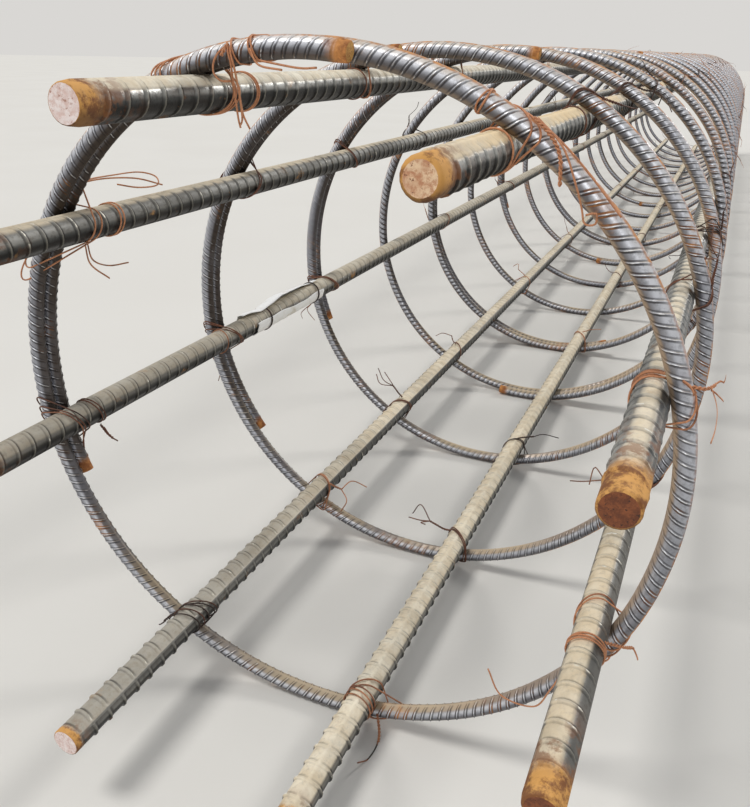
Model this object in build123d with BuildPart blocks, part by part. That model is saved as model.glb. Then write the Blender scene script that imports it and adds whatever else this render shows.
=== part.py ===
from build123d import *
import os
from math import cos, hypot, pi, radians, sin

# Round reinforcement cage for a bored pile, lying on its side on a level floor.
# Straight long bars stand inside lapped hoops of thinner bar, and soft wire ties hold them together.
# The cage's axis runs along +Y, the near end is at -Y, +Z is up and +X is to the right seen from the near end.
# The origin is on the floor under the middle of the whole cage. All sizes are in millimetres, angles in degrees
# round the cage's axis from +X towards +Z.

# Long bars, tied by eye, so neither evenly spaced nor flush at their ends
BAR_DIAMETER = 28.0
BAR_LENGTH = 6000.0
BAR_COUNT = 8
FIRST_BAR_ANGLE = 15.0
BAR_ANGLE_ERRORS = (1.6, -0.8, 2.8, -2.2, -4.6, 0.4, -3.1, 5.8)
# How far the bars' near ends stand back, as shares of the whole stagger
END_STAGGER = 52.0
BAR_SETBACK_SHARES = (0.79, 1.0, 0.90, 0.92, 0.63, 0.0, 0.54, 0.04)

# Hoops, each one bar bent round into a flat helix of one turn and a lap
CAGE_DIAMETER = 650.0
HOOP_BAR_DIAMETER = 16.0
HOOP_PITCH = 300.0
FIRST_HOOP_SETBACK = 203.0
LAST_HOOP_COVER = 90.0
HOOP_SIDES = 8
CHORDS_PER_TURN = 24
LAP_CHORDS = 8
# Where the front end of each hoop starts: the first three as on the near side, then a repeating stagger
NEAR_LAP_STARTS = (82.5, 97.5, 82.5)
LATER_LAP_STARTS = (262.5, 172.5, 352.5, 82.5)

# Wire ties, each a closed loop of straight runs slanted across one crossing of a long bar and a hoop
TIE_WIRE = 1.6
TIE_SLANT = 45.0
TIE_RUNS = 5
NEAR_HOOPS_TIED_ALL_ROUND = 3

# Paper strip round one long bar, just past one of the hoops
STRIP_BAR = 4
STRIP_HOOP = 1
STRIP_GAP_TO_HOOP = 52.0
STRIP_LENGTH = 205.0
STRIP_THICKNESS = 0.6
STRIP_COVER_ANGLE = 295.0
STRIP_FIRST_EDGE = 343.0

# Clearance of the seats: bar to hoop, strand to strand and strip to bar, and a wider one for the wire
SEAT_CLEARANCE = 0.3
TIE_CLEARANCE = 0.5

HOOP_RADIUS = (CAGE_DIAMETER - HOOP_BAR_DIAMETER) / 2
AXIS_HEIGHT = CAGE_DIAMETER / 2
BAR_DEPTH = HOOP_BAR_DIAMETER / 2 + SEAT_CLEARANCE + BAR_DIAMETER / 2
CHORD_ANGLE = 360.0 / CHORDS_PER_TURN
HOOP_TURN = CHORD_ANGLE * (CHORDS_PER_TURN + LAP_CHORDS)
LAP_ADVANCE = HOOP_BAR_DIAMETER + SEAT_CLEARANCE
NEAR_END = -(BAR_LENGTH + END_STAGGER) / 2
HOOP_COUNT = 1 + int((BAR_LENGTH - FIRST_HOOP_SETBACK - LAST_HOOP_COVER) // HOOP_PITCH)
RUN_ANGLE = 360.0 / TIE_RUNS

os.makedirs("parts", exist_ok=True)


def direction(angle):
    """Unit vector at an angle, straight out from the cage's axis."""
    return Vector(cos(radians(angle)), 0, sin(radians(angle)))


def on_cage(radius, angle, y):
    return Vector(0, y, AXIS_HEIGHT) + direction(angle) * radius


def bar_angle(bar_index):
    even_angle = FIRST_BAR_ANGLE + 360.0 / BAR_COUNT * bar_index
    return even_angle + BAR_ANGLE_ERRORS[bar_index % len(BAR_ANGLE_ERRORS)]


def chord_middle(angle):
    """Angle of the middle of the hoop chord that an angle falls on. The lowest chord lies flat on the floor."""
    return 270.0 + CHORD_ANGLE * round((angle - 270.0) / CHORD_ANGLE)


def bar_centre(bar_index, y):
    """Point on a long bar's axis: the bar lies against the inside of the chord that its angle falls on."""
    angle = bar_angle(bar_index)
    off_middle = radians(angle - chord_middle(angle))
    return on_cage((HOOP_RADIUS - BAR_DEPTH) / cos(off_middle), angle, y)


def lap_start(hoop_index):
    """Angle at which a hoop's front end starts."""
    if hoop_index < len(NEAR_LAP_STARTS):
        return NEAR_LAP_STARTS[hoop_index]
    return LATER_LAP_STARTS[(hoop_index - len(NEAR_LAP_STARTS)) % len(LATER_LAP_STARTS)]


def hoop_middle(hoop_index):
    return NEAR_END + FIRST_HOOP_SETBACK + HOOP_PITCH * hoop_index


def strand_y(hoop_index, turned):
    """Place along the cage of a hoop's centre line once it has turned by an angle from its front end."""
    return hoop_middle(hoop_index) + LAP_ADVANCE * (turned - HOOP_TURN / 2) / 360.0


def strands_at(hoop_index, angle):
    """Places along the cage at which a hoop passes an angle: one, or two where it laps."""
    first_pass = (angle - lap_start(hoop_index)) % 360.0
    return [strand_y(hoop_index, turned) for turned in (first_pass, first_pass + 360.0) if turned < HOOP_TURN]


# Long bars
for index in range(BAR_COUNT):
    setback = END_STAGGER * BAR_SETBACK_SHARES[index % len(BAR_SETBACK_SHARES)]
    near_face = bar_centre(index, NEAR_END + setback)
    with BuildPart() as long_bar:
        with BuildSketch(Plane(origin=near_face, x_dir=(1, 0, 0), z_dir=(0, 1, 0))):
            Circle(BAR_DIAMETER / 2)
        extrude(amount=BAR_LENGTH)
    long_bar.part.label = f"long_bar_{index + 1}"
    export_step(long_bar.part, f"parts/long_bar_{index + 1}.step")

# Section of a hoop bar, with a flat to the long bars and one to the neighbouring strand of the lap.
# The sweep turns it a little as the hoop climbs, so it starts turned back by half of that.
climb_turn = HOOP_TURN * LAP_ADVANCE / (2 * pi * HOOP_RADIUS)
flats_square = 180.0 / HOOP_SIDES
with BuildSketch() as hoop_profile:
    RegularPolygon(HOOP_BAR_DIAMETER / 2, HOOP_SIDES, major_radius=False, rotation=flats_square - climb_turn / 2)
hoop_section = hoop_profile.sketch

# Hoops: their corners lie a little outside the true circle, so that the middle of each chord is on it
corner_radius = HOOP_RADIUS / cos(radians(CHORD_ANGLE / 2))
for index in range(HOOP_COUNT):
    corners = [
        on_cage(corner_radius, lap_start(index) + CHORD_ANGLE * step, strand_y(index, CHORD_ANGLE * step))
        for step in range(CHORDS_PER_TURN + LAP_CHORDS + 1)
    ]
    with BuildPart() as hoop:
        with BuildLine() as bent_bar:
            Polyline(*corners)
        with BuildSketch(Plane(origin=bent_bar.line @ 0, x_dir=(0, 1, 0), z_dir=bent_bar.line % 0)):
            add(hoop_section)
        sweep(path=bent_bar.line, transition=Transition.RIGHT)
    hoop.part.label = f"hoop_{index + 1:02d}"
    export_step(hoop.part, f"parts/hoop_{index + 1:02d}.step")


def crossing_reach(run_angle, strand_spread):
    """How far the steel of a crossing reaches in one direction of its tie's slanted plane.

    The plane's first axis lies across both bars and its second points out of the cage, from the hoop's centre
    line. The wire is as thick across the plane as along it, so it meets the slanted steel a little further out."""
    slant = radians(TIE_SLANT)
    across, outwards = cos(radians(run_angle)), sin(radians(run_angle))
    bar_half_width = (BAR_DIAMETER / 2 + TIE_WIRE / 2 * cos(slant)) / sin(slant)
    bar_reach = hypot(across * bar_half_width, outwards * BAR_DIAMETER / 2) - outwards * BAR_DEPTH
    lap_half_width = (strand_spread / 2 + TIE_WIRE / 2 * sin(slant)) / cos(slant)
    strand_reach = max(
        across * corner.X / cos(slant) + outwards * corner.Y for corner in hoop_section.vertices()
    )
    return max(bar_reach, strand_reach + abs(across) * lap_half_width)


def loop_corners(strand_spread, standoff):
    """Corners of a closed loop of straight runs, each run standing off the crossing's steel by the same amount."""
    angles = [90.0 + RUN_ANGLE * run for run in range(TIE_RUNS)]
    reaches = [crossing_reach(run_angle, strand_spread) + standoff for run_angle in angles]
    corners = []
    for run, reach in enumerate(reaches):
        next_reach = reaches[(run + 1) % TIE_RUNS]
        here, ahead = radians(angles[run]), radians(angles[run] + RUN_ANGLE)
        across = (reach * sin(ahead) - next_reach * sin(here)) / sin(ahead - here)
        outwards = (next_reach * cos(here) - reach * cos(ahead)) / sin(ahead - here)
        corners.append((across, outwards))
    return corners


def tied_bars(hoop_index):
    """Every bar at the near hoops and at the last one, and every other bar by turns at the hoops between."""
    if hoop_index < NEAR_HOOPS_TIED_ALL_ROUND or hoop_index == HOOP_COUNT - 1:
        return range(BAR_COUNT)
    return range(hoop_index % 2, BAR_COUNT, 2)


# Wire ties, one node of separate loops for each hoop
for index in range(HOOP_COUNT):
    with BuildPart() as ties:
        for bar_index in tied_bars(index):
            strands = strands_at(index, bar_angle(bar_index))
            outwards = direction(chord_middle(bar_angle(bar_index)))
            along_hoop = direction(chord_middle(bar_angle(bar_index)) + 90.0)
            crossing = bar_centre(bar_index, (strands[0] + strands[-1]) / 2) + outwards * BAR_DEPTH
            across = Vector(0, 1, 0) * cos(radians(TIE_SLANT)) + along_hoop * sin(radians(TIE_SLANT))
            with BuildSketch(Plane(origin=crossing, x_dir=across, z_dir=across.cross(outwards))):
                Polygon(*loop_corners(strands[-1] - strands[0], TIE_CLEARANCE + TIE_WIRE), align=None)
                Polygon(*loop_corners(strands[-1] - strands[0], TIE_CLEARANCE), align=None, mode=Mode.SUBTRACT)
            extrude(amount=TIE_WIRE / 2, both=True)
    ties.part.label = f"wire_ties_{index + 1:02d}"
    export_step(ties.part, f"parts/wire_ties_{index + 1:02d}.step")

# Paper strip: a thin sleeve that is open along one side
strip_end = bar_centre(STRIP_BAR, hoop_middle(STRIP_HOOP) + STRIP_GAP_TO_HOOP)
strip_inner_radius = BAR_DIAMETER / 2 + SEAT_CLEARANCE
with BuildPart() as strip:
    with BuildSketch(Plane(origin=strip_end, x_dir=(1, 0, 0), z_dir=(0, 1, 0))):
        with BuildLine():
            outer = CenterArc((0, 0), strip_inner_radius + STRIP_THICKNESS, STRIP_FIRST_EDGE, STRIP_COVER_ANGLE)
            inner = CenterArc((0, 0), strip_inner_radius, STRIP_FIRST_EDGE, STRIP_COVER_ANGLE)
            Line(outer @ 0, inner @ 0)
            Line(outer @ 1, inner @ 1)
        make_face()
    extrude(amount=STRIP_LENGTH)
strip.part.label = "paper_strip"
export_step(strip.part, "parts/paper_strip.step")
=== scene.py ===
from math import atan2, ceil, cos, degrees, hypot, pi, radians, sin, tan

import bpy
import numpy as np
from mathutils import Matrix, Vector


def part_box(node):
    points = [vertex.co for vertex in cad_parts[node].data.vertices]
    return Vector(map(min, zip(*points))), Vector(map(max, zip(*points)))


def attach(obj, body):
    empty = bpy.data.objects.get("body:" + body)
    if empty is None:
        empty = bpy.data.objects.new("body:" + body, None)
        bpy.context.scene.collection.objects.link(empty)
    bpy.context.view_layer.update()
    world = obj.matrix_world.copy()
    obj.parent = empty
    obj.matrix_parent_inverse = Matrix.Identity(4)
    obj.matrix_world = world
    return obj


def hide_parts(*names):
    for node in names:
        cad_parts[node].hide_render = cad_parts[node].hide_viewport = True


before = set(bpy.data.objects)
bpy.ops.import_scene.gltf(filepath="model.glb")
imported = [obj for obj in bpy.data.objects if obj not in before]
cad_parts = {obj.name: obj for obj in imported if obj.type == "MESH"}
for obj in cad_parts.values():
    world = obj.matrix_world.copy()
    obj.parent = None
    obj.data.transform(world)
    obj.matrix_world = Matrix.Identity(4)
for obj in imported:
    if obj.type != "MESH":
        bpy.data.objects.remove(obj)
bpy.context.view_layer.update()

# Looks of a round reinforcement cage that lies on its side: ribbed long bars, lapped ribbed hoops, twisted wire
# ties and a paper strip. Metres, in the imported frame: the cage's axis runs along +Y, the near end is at -Y.
# Angles go round the cage's axis from +X towards +Z.

rng = np.random.default_rng(2505)

# The cage, read from the frame
BAR_COUNT = 8
HOOP_COUNT = sum(name.startswith("hoop_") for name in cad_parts)
AXIS_HEIGHT = 0.325
HOOP_RADIUS = 0.317
HOOP_BAR_RADIUS = 0.008
LONG_BAR_RADIUS = 0.014
SEAT = 0.0003
LAP_ADVANCE = 2 * HOOP_BAR_RADIUS + SEAT
HOOP_TURN = 480.0
NEAR_LAP_STARTS = (82.5, 97.5, 82.5)
LATER_LAP_STARTS = (262.5, 172.5, 352.5, 82.5)

# Ribs of the long bars and of the hoop bars
LONG_BAR = dict(core=0.0135, rib=0.0017, spine=0.0012, pitch=0.0195, lean=0.0062, spine_width=0.0030)
HOOP_BAR = dict(core=0.0077, rib=0.0009, spine=0.0008, pitch=0.0098, lean=0.0125, spine_width=0.0022)

# Rows of points across one rib: share of the pitch from its middle, share of its height
RIB_FINE = ((-0.15, 0.0), (-0.1, 0.0), (-0.03, 1.0), (0.03, 1.0), (0.1, 0.0), (0.15, 0.0))
RIB_PLAIN = ((-0.12, 0.0), (-0.03, 1.0), (0.03, 1.0), (0.12, 0.0))
RIB_COARSE = ((-0.17, 0.0), (0.0, 1.0), (0.17, 0.0))

# Near a cut end the leaning ribs straighten over this distance
LEAN_FADE = 0.018

WIRE_RADIUS = 0.0008


def srgb(red, green, blue):
    """Linear colour of an 8-bit screen colour."""
    def linear(level):
        share = level / 255
        return share / 12.92 if share < 0.04045 else ((share + 0.055) / 1.055) ** 2.4
    return linear(red), linear(green), linear(blue), 1.0


# Meshes

def mesh_piece(name, points, faces, attributes=(), flat_from=None, face_materials=None):
    """New object from arrays of points and faces; the faces from flat_from on are flat shaded."""
    mesh = bpy.data.meshes.new(name)
    mesh.vertices.add(len(points))
    mesh.vertices.foreach_set("co", np.asarray(points, np.float32).ravel())
    sizes = np.concatenate([np.full(len(group), group.shape[1], np.int32) for group in faces])
    mesh.loops.add(int(sizes.sum()))
    mesh.loops.foreach_set("vertex_index", np.concatenate([group.ravel() for group in faces]).astype(np.int32))
    mesh.polygons.add(len(sizes))
    mesh.polygons.foreach_set("loop_start", np.concatenate([[0], np.cumsum(sizes)[:-1]]).astype(np.int32))
    smooth = np.ones(len(sizes), bool)
    if flat_from is not None:
        smooth[flat_from:] = False
    mesh.polygons.foreach_set("use_smooth", smooth)
    if face_materials is not None:
        mesh.polygons.foreach_set("material_index", np.asarray(face_materials, np.int32))
    for label, values in attributes:
        mesh.attributes.new(label, "FLOAT", "POINT").data.foreach_set("value", np.asarray(values, np.float32))
    mesh.update()
    mesh.validate()
    piece = bpy.data.objects.new(name, mesh)
    bpy.context.scene.collection.objects.link(piece)
    return piece


def section_columns(bar, steps):
    """Angles round a bar's section with the heights there: (angle, spine share, side share, lean share)."""
    half_spine = bar["spine_width"] / 2 / bar["core"]
    columns = []
    for side in (0, 1):
        for angle, height in ((-1.7, 0.0), (-0.7, 1.0), (0.7, 1.0), (1.7, 0.0)):
            columns.append((side * pi + angle * half_spine, height))
        free = pi - 3.4 * half_spine
        for step in range(1, steps):
            columns.append((side * pi + 1.7 * half_spine + free * step / steps, 0.0))
    angles = np.array([angle for angle, _ in columns])
    spine = np.array([height for _, height in columns])
    turn = np.mod(angles, 2 * pi)
    side_share = np.abs(np.sin(turn)) ** 0.6
    side_share[spine > 0] *= 0.0
    lean = np.where(turn < pi, turn / pi, 2 - turn / pi) - 0.5
    return angles, spine, side_share, lean


def tube_faces(rows, columns, offset=0):
    """Quads of a closed tube of point rings, wound so that they face out."""
    ring = np.arange(columns)
    here = (np.arange(rows - 1)[:, None] * columns + ring[None, :]).ravel()
    beside = (np.arange(rows - 1)[:, None] * columns + (ring[None, :] + 1) % columns).ravel()
    return np.column_stack([here, here + columns, beside + columns, beside]) + offset


def thinning_faces(fine_start, coarse_start, coarse_columns):
    """Triangles between a ring of points and the next ring, which has half as many."""
    faces = []
    fine_columns = coarse_columns * 2
    for column in range(coarse_columns):
        a, b, c = (fine_start + (2 * column + step) % fine_columns for step in range(3))
        d, e = coarse_start + column, coarse_start + (column + 1) % coarse_columns
        faces += [(a, d, b), (b, d, e), (b, e, c)]
    return np.array(faces)


def ribbed_rows(length, bar, zones, margin):
    """Distances of the point rows along a bar, with the share of the rib's height and the rib count of each."""
    rows = []
    ribs = int((length - 2 * margin) // bar["pitch"])
    first = (length - (ribs - 1) * bar["pitch"]) / 2
    for rib in range(ribs):
        middle = first + rib * bar["pitch"]
        profile = next(profile for limit, profile in zones if middle <= limit)
        rows += [(middle + share * bar["pitch"], height, rib + share) for share, height in profile]
    return np.array(rows), first


def ribbed_grid(length, bar, columns, rows):
    """Distance along the bar, radius, angle and rib count for each row and column of a ribbed bar."""
    angles, spine, side, lean = columns
    along, rib, count = rows[:, 0:1], rows[:, 1:2], rows[:, 2:3]
    fade = np.clip(along / LEAN_FADE, 0, 1) * np.clip((length - along) / LEAN_FADE, 0, 1)
    distance = along + bar["lean"] * lean[None, :] * fade
    height = np.maximum(rib * side[None, :] * bar["rib"] * fade, spine[None, :] * bar["spine"])
    return distance, bar["core"] + height, np.broadcast_to(angles, distance.shape), np.broadcast_to(count, distance.shape)


def end_rows(length, bar, columns, edge_radius, first_rib, at_start):
    """Rings at an end: the rim of the cut face, its worn edge and the start of the ribbed stretch."""
    angles = columns[0]
    rings = [
        (0.0, bar["core"] - edge_radius, 0.0), (edge_radius * 0.3, bar["core"] - edge_radius * 0.3, 0.0),
        (edge_radius, bar["core"], 0.1), (max(0.009, edge_radius * 1.8), bar["core"], 1.0)
    ]
    if not at_start:
        rings = [(length - inset, radius, spine) for inset, radius, spine in reversed(rings)]
    distance = np.array([[inset] * len(angles) for inset, _, _ in rings])
    radius = np.array([size + columns[1] * bar["spine"] * spine for _, size, spine in rings])
    return distance, radius, np.broadcast_to(angles, distance.shape), (distance - first_rib) / bar["pitch"]


def ribbed_bar(name, bar, length, place, zones, steps, edge_radius, roll, thin_at=None, extra=()):
    """A whole ribbed bar with its two cut ends. place(distance, radius, angle) gives the points."""
    columns = section_columns(bar, steps)
    rows, first_rib = ribbed_rows(length, bar, zones, 0.012)
    parts = [end_rows(length, bar, columns, edge_radius, first_rib, True), ribbed_grid(length, bar, columns, rows),
             end_rows(length, bar, columns, edge_radius, first_rib, False)]
    distance, radius, angle, phase = (np.vstack([part[k] for part in parts]) for k in range(4))
    side = np.broadcast_to(columns[2], distance.shape)
    count = distance.shape[1]
    if thin_at is None:
        keep = [slice(None)] * len(distance)
        switch = len(distance)
    else:
        switch = int(np.searchsorted(distance.mean(axis=1), thin_at))
        keep = [slice(None)] * switch + [slice(0, None, 2)] * (len(distance) - switch)
    flat = []
    for grid in (distance, radius, angle, phase, side):
        flat.append(np.concatenate([grid[row, keep[row]] for row in range(len(distance))]))
    d, r, a, rib_phase, rib_side = flat
    outer = np.concatenate([0.5 + 0.5 * np.cos(a), [0.0, 0.0]])
    points = place(d, r, a + roll)
    faces = [tube_faces(switch, count)]
    if thin_at is not None:
        start = switch * count
        faces.append(thinning_faces(start - count, start, count // 2))
        faces.append(tube_faces(len(distance) - switch, count // 2, start))
    body_faces = sum(len(group) for group in faces)
    near_centre = place(np.array([0.0]), np.array([0.0]), np.array([0.0]))
    far_centre = place(np.array([length]), np.array([0.0]), np.array([0.0]))
    last = count if thin_at is None else count // 2
    total = len(points)
    ring = np.arange(count)
    near_cap = np.column_stack([np.full(count, total), ring, (ring + 1) % count])
    ring = np.arange(last)
    far_start = total - last
    far_cap = np.column_stack([np.full(last, total + 1), far_start + (ring + 1) % last, far_start + ring])
    points = np.vstack([points, near_centre, far_centre])
    faces += [near_cap, far_cap]
    end_distance = np.concatenate([np.minimum(d, length - d), [0.0, 0.0]])
    rib_phase = np.concatenate([rib_phase, [0.0, 0.0]])
    rib_side = np.concatenate([rib_side, [0.0, 0.0]])
    kinds = np.zeros(body_faces + count + last, int)
    kinds[body_faces:body_faces + count] = 1
    kinds[body_faces + count:] = 2
    attributes = [("end_distance", end_distance), ("rib_phase", rib_phase), ("rib_side", rib_side), ("outer", outer)]
    along = np.concatenate([d, [0.0, length]])
    attributes += [(label, np.interp(along, places, values)) for label, places, values in extra]
    return mesh_piece(name, points, faces, attributes, body_faces, kinds)


# Places of the bars and hoops

bar_boxes = [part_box(f"long_bar_{index + 1}") for index in range(BAR_COUNT)]
bar_centres = [((low.x + high.x) / 2, (low.z + high.z) / 2) for low, high in bar_boxes]
bar_angles = [degrees(atan2(z - AXIS_HEIGHT, x)) % 360 for x, z in bar_centres]
bar_radii = [hypot(x, z - AXIS_HEIGHT) for x, z in bar_centres]


def lap_start(hoop):
    if hoop < len(NEAR_LAP_STARTS):
        return NEAR_LAP_STARTS[hoop]
    return LATER_LAP_STARTS[(hoop - len(NEAR_LAP_STARTS)) % len(LATER_LAP_STARTS)]


def hoop_middle(hoop):
    low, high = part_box(f"hoop_{hoop + 1:02d}")
    return (low.y + high.y) / 2


def strand_y(hoop, turned):
    return hoop_middle(hoop) + LAP_ADVANCE * (turned - HOOP_TURN / 2) / 360.0


def hoop_radius(angle):
    """Radius of a hoop's centre line: the long bars press it out a little where they stand a little further out."""
    radius = np.full(np.shape(angle), HOOP_RADIUS)
    for bar in range(BAR_COUNT):
        away = (np.asarray(angle) - bar_angles[bar] + 180) % 360 - 180
        press = bar_radii[bar] + LONG_BAR_RADIUS + SEAT + HOOP_BAR_RADIUS - HOOP_RADIUS
        radius = radius + press * np.exp(-(away / 9.0) ** 2)
    return radius


# Finishes

class Finish:
    """A material's node tree, with short calls for the nodes that the finishes share."""

    def __init__(self, name):
        self.material = bpy.data.materials.new(name)
        self.material.use_nodes = True
        self.tree = self.material.node_tree
        self.shader = self.tree.nodes["Principled BSDF"]
        self.place = self.tree.nodes.new("ShaderNodeTexCoord").outputs["Object"]
        self.normal = self.tree.nodes.new("ShaderNodeNewGeometry").outputs["Normal"]

    def put(self, socket, value):
        if isinstance(value, bpy.types.NodeSocket):
            self.tree.links.new(value, socket)
        else:
            socket.default_value = value

    def math(self, operation, first, second=0.0, third=0.0):
        node = self.tree.nodes.new("ShaderNodeMath")
        node.operation = operation
        for socket, value in zip(node.inputs, (first, second, third)):
            self.put(socket, value)
        return node.outputs[0]

    def noise(self, scale, detail=4.0, roughness=0.6, distortion=0.0, stretch=None):
        node = self.tree.nodes.new("ShaderNodeTexNoise")
        place = self.place
        if stretch is not None:
            mapping = self.tree.nodes.new("ShaderNodeMapping")
            self.put(mapping.inputs["Vector"], place)
            mapping.inputs["Scale"].default_value = stretch
            place = mapping.outputs[0]
        self.put(node.inputs["Vector"], place)
        node.inputs["Scale"].default_value = scale
        node.inputs["Detail"].default_value = detail
        node.inputs["Roughness"].default_value = roughness
        node.inputs["Distortion"].default_value = distortion
        return node.outputs[0]

    def cells(self, scale):
        node = self.tree.nodes.new("ShaderNodeTexVoronoi")
        self.put(node.inputs["Vector"], self.place)
        node.inputs["Scale"].default_value = scale
        return node.outputs["Distance"]

    def step(self, value, low, high, from_low=0.0, to_high=1.0):
        node = self.tree.nodes.new("ShaderNodeMapRange")
        node.interpolation_type = "SMOOTHSTEP"
        for socket, number in zip(list(node.inputs)[:5], (value, low, high, from_low, to_high)):
            self.put(socket, number)
        return node.outputs[0]

    def mix(self, share, first, second):
        node = self.tree.nodes.new("ShaderNodeMix")
        node.data_type = "RGBA"
        self.put(node.inputs[0], share)
        self.put(node.inputs[6], first)
        self.put(node.inputs[7], second)
        return node.outputs[2]

    def attribute(self, name):
        node = self.tree.nodes.new("ShaderNodeAttribute")
        node.attribute_name = name
        return node.outputs["Fac"]

    def normal_parts(self):
        node = self.tree.nodes.new("ShaderNodeSeparateXYZ")
        self.put(node.inputs[0], self.normal)
        return node.outputs["X"], node.outputs["Y"], node.outputs["Z"]

    def bump(self, height, distance, strength=1.0, under=None):
        node = self.tree.nodes.new("ShaderNodeBump")
        node.inputs["Strength"].default_value = strength
        node.inputs["Distance"].default_value = distance
        self.put(node.inputs["Height"], height)
        if under is not None:
            self.put(node.inputs["Normal"], under)
        return node.outputs[0]

    def finish(self, colour, roughness, metallic, normal):
        self.put(self.shader.inputs["Base Color"], colour)
        self.put(self.shader.inputs["Roughness"], roughness)
        self.put(self.shader.inputs["Metallic"], metallic)
        self.put(self.shader.inputs["Normal"], normal)
        return self.material


def rib_masks(f, crease_width=0.1):
    """Shares of a rib's crest and of the two creases beside it, from the rib count along the bar."""
    across = f.math("SUBTRACT", f.math("FRACT", f.math("ADD", f.attribute("rib_phase"), 0.5)), 0.5)
    side = f.attribute("rib_side")
    crest = f.math("MULTIPLY", f.step(f.math("ABSOLUTE", across), 0.025, 0.06, 1.0, 0.0), side)
    wide = crease_width
    far = f.math("MULTIPLY", f.step(across, 0.04, 0.09), f.step(across, 0.04 + wide, 0.14 + wide, 1.0, 0.0))
    near = f.math("MULTIPLY", f.step(across, -0.05, -0.1), f.step(across, -0.04 - wide, -0.09 - wide, 1.0, 0.0))
    return crest, f.math("MULTIPLY", far, side), f.math("MULTIPLY", near, side)


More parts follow.
